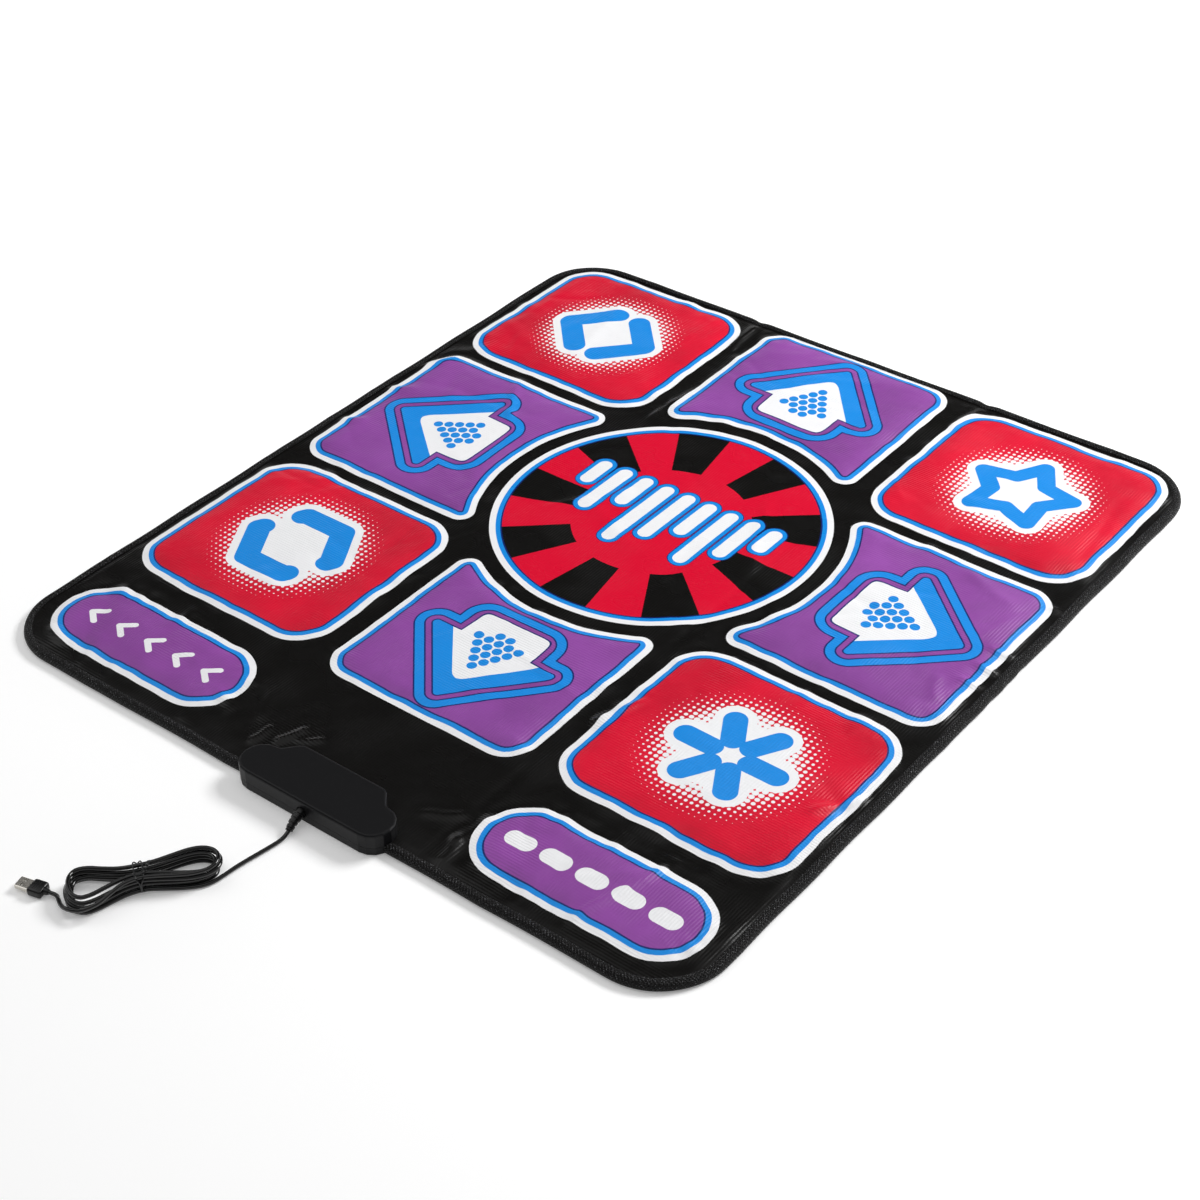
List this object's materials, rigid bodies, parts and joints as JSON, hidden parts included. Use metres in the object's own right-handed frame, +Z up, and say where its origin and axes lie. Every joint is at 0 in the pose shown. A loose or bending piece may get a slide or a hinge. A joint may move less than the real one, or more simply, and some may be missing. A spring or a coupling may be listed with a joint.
{
  "type": "dance mat controller",
  "caption": "Folding foam dance mat with pressable arrow, corner and pill pads, a control box on its edge and a USB cord tied in a hank.",
  "frame": {"origin": "on the floor under the middle of the mat and its control box, the cord left out", "axes": "+Y away from the control box along the mat's length, +Z up from the mat's printed face"},
  "size_m": [0.82, 1.1308, 0.024],
  "materials": {
    "black_cloth": "satin coated cloth",
    "red_print": "satin print on coated cloth",
    "purple_print": "satin print on coated cloth",
    "grip_cloth": "matt grip cloth",
    "edge_tape": "woven tape",
    "foam": "matt foam",
    "contact_film": "clear film",
    "box_plastic": "fine matt texture",
    "screw_steel": "zinc plated",
    "board": "solder mask",
    "chip_black": "matt",
    "nylon": "natural nylon",
    "moulded_rubber": "matt",
    "cord_jacket": "satin",
    "plated_steel": "nickel plated"
  },
  "bodies": {
    "centre_leaf": {"bottom_cover_centre": "grip_cloth", "base_foam_centre": "foam", "spacer_foam_centre": "foam", "lower_film_centre": "contact_film", "top_cover_centre": "black_cloth", "edge_binding_centre_far": "edge_tape", "edge_binding_box_left": "edge_tape", "edge_binding_box_right": "edge_tape", "box_top_shell": "box_plastic", "box_bottom_shell": "box_plastic", "box_screw_1": "screw_steel", "box_screw_2": "screw_steel", "box_screw_3": "screw_steel", "box_screw_4": "screw_steel", "clamp_screw_1": "screw_steel", "clamp_screw_2": "screw_steel", "circuit_board": "board", "controller_chip": "chip_black", "film_clamp_bar": "nylon", "cord_header": "nylon", "plug_tongue": "nylon", "strain_relief": "moulded_rubber", "plug_grip": "moulded_rubber", "cord_tie": "moulded_rubber", "cord_lead": "cord_jacket", "cord_hank": "cord_jacket", "cord_inner": "cord_jacket", "plug_shell": "plated_steel"},
    "left_leaf": {"bottom_cover_left": "grip_cloth", "base_foam_left": "foam", "spacer_foam_left": "foam", "lower_film_left": "contact_film", "top_cover_left": "black_cloth", "edge_binding_left": "edge_tape"},
    "right_leaf": {"bottom_cover_right": "grip_cloth", "base_foam_right": "foam", "spacer_foam_right": "foam", "lower_film_right": "contact_film", "top_cover_right": "black_cloth", "edge_binding_right": "edge_tape"},
    "arrow_pad_up": {"arrow_pad_up": "purple_print", "arrow_contact_up": "contact_film"},
    "arrow_pad_down": {"arrow_pad_down": "purple_print", "arrow_contact_down": "contact_film"},
    "arrow_pad_left": {"arrow_pad_left": "purple_print", "arrow_contact_left": "contact_film"},
    "arrow_pad_right": {"arrow_pad_right": "purple_print", "arrow_contact_right": "contact_film"},
    "corner_pad_up_left": {"corner_pad_up_left": "red_print", "corner_contact_up_left": "contact_film"},
    "corner_pad_up_right": {"corner_pad_up_right": "red_print", "corner_contact_up_right": "contact_film"},
    "corner_pad_down_left": {"corner_pad_down_left": "red_print", "corner_contact_down_left": "contact_film"},
    "corner_pad_down_right": {"corner_pad_down_right": "red_print", "corner_contact_down_right": "contact_film"},
    "select_pad": {"select_pad": "purple_print", "select_contact": "contact_film"},
    "start_pad": {"start_pad": "purple_print", "start_contact": "contact_film"}
  },
  "joints": [
    {"name": "left_leaf_fold", "type": "hinge", "parent": "centre_leaf", "child": "left_leaf", "pos_m": [0.1315, 0, 0.0091], "axis": [0, -1, 0], "range_deg": [0, 154]},
    {"name": "right_leaf_fold", "type": "hinge", "parent": "centre_leaf", "child": "right_leaf", "pos_m": [-0.1315, 0, 0.0091], "axis": [0, 1, 0], "range_deg": [0, 95]},
    {"name": "arrow_pad_up_press", "type": "slide", "parent": "centre_leaf", "child": "arrow_pad_up", "axis": [0, 0, -1], "range_m": [0, 0.0013], "stiffness_N_per_m": 1500},
    {"name": "arrow_pad_down_press", "type": "slide", "parent": "centre_leaf", "child": "arrow_pad_down", "axis": [0, 0, -1], "range_m": [0, 0.0013], "stiffness_N_per_m": 1500},
    {"name": "arrow_pad_left_press", "type": "slide", "parent": "left_leaf", "child": "arrow_pad_left", "axis": [0, 0, -1], "range_m": [0, 0.0013], "stiffness_N_per_m": 1500},
    {"name": "arrow_pad_right_press", "type": "slide", "parent": "right_leaf", "child": "arrow_pad_right", "axis": [0, 0, -1], "range_m": [0, 0.0013], "stiffness_N_per_m": 1500},
    {"name": "corner_pad_up_left_press", "type": "slide", "parent": "left_leaf", "child": "corner_pad_up_left", "axis": [0, 0, -1], "range_m": [0, 0.0013], "stiffness_N_per_m": 1500},
    {"name": "corner_pad_up_right_press", "type": "slide", "parent": "right_leaf", "child": "corner_pad_up_right", "axis": [0, 0, -1], "range_m": [0, 0.0013], "stiffness_N_per_m": 1500},
    {"name": "corner_pad_down_left_press", "type": "slide", "parent": "left_leaf", "child": "corner_pad_down_left", "axis": [0, 0, -1], "range_m": [0, 0.0013], "stiffness_N_per_m": 1500},
    {"name": "corner_pad_down_right_press", "type": "slide", "parent": "right_leaf", "child": "corner_pad_down_right", "axis": [0, 0, -1], "range_m": [0, 0.0013], "stiffness_N_per_m": 1500},
    {"name": "select_pad_press", "type": "slide", "parent": "left_leaf", "child": "select_pad", "axis": [0, 0, -1], "range_m": [0, 0.0013], "stiffness_N_per_m": 1500},
    {"name": "start_pad_press", "type": "slide", "parent": "right_leaf", "child": "start_pad", "axis": [0, 0, -1], "range_m": [0, 0.0013], "stiffness_N_per_m": 1500}
  ]
}
